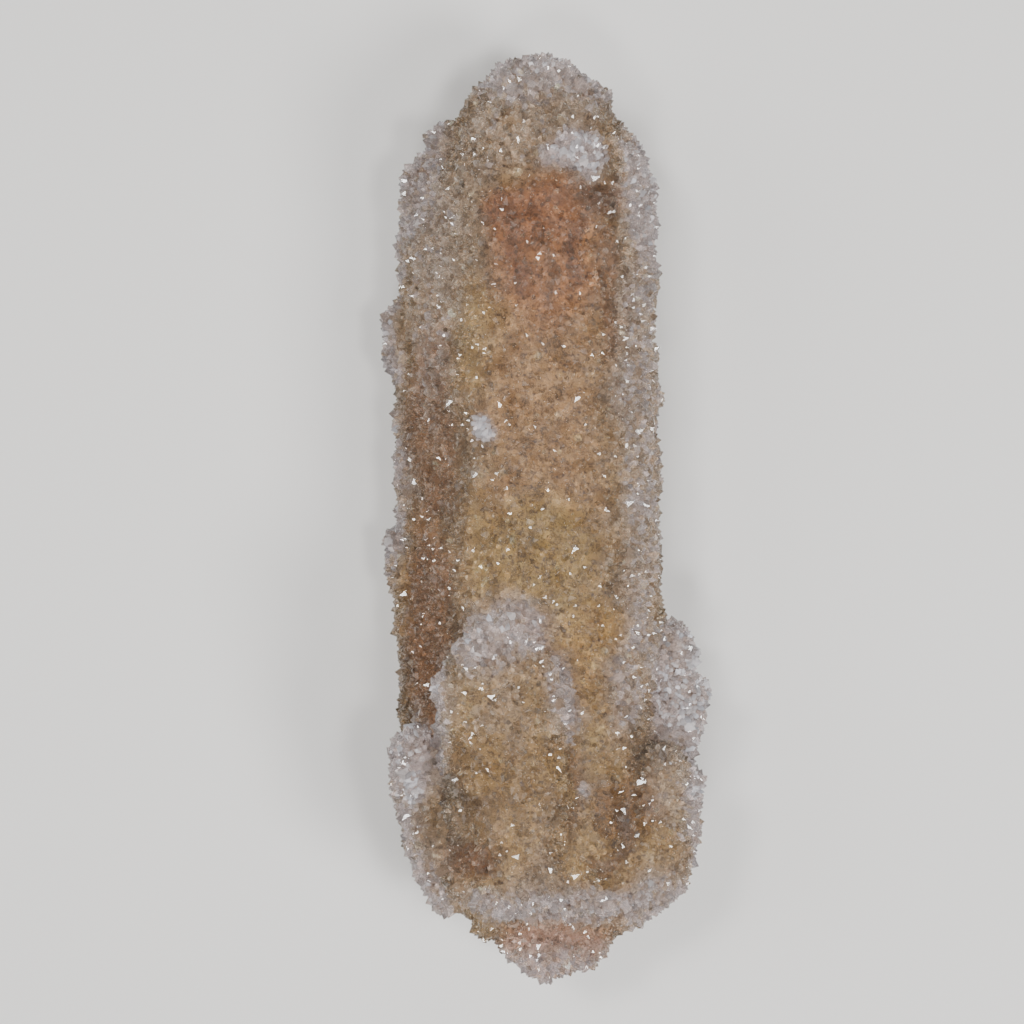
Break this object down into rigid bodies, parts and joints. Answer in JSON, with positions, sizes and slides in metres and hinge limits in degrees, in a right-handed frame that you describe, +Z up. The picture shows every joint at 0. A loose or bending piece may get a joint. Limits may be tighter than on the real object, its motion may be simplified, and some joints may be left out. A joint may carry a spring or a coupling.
{
  "type": "druse-coated quartz crystal point",
  "caption": "Thick six-sided quartz crystal with a blunt tip, shorter points grown round its base and a sparkling crust of tiny clear crystals. It lies on its back.",
  "frame": {"origin": "below the middle of the specimen, on the surface that it lies on", "axes": "+Y from the base to the blunt tip, +Z up from the surface that it lies on, +X to the right seen from above with the tip away"},
  "size_m": [0.072, 0.2002, 0.0635],
  "materials": {
    "quartz": "glassy crust of tiny clear crystals over a tan, iron-stained body"
  },
  "bodies": {
    "root": {"quartz_point": "quartz"}
  },
  "joints": []
}
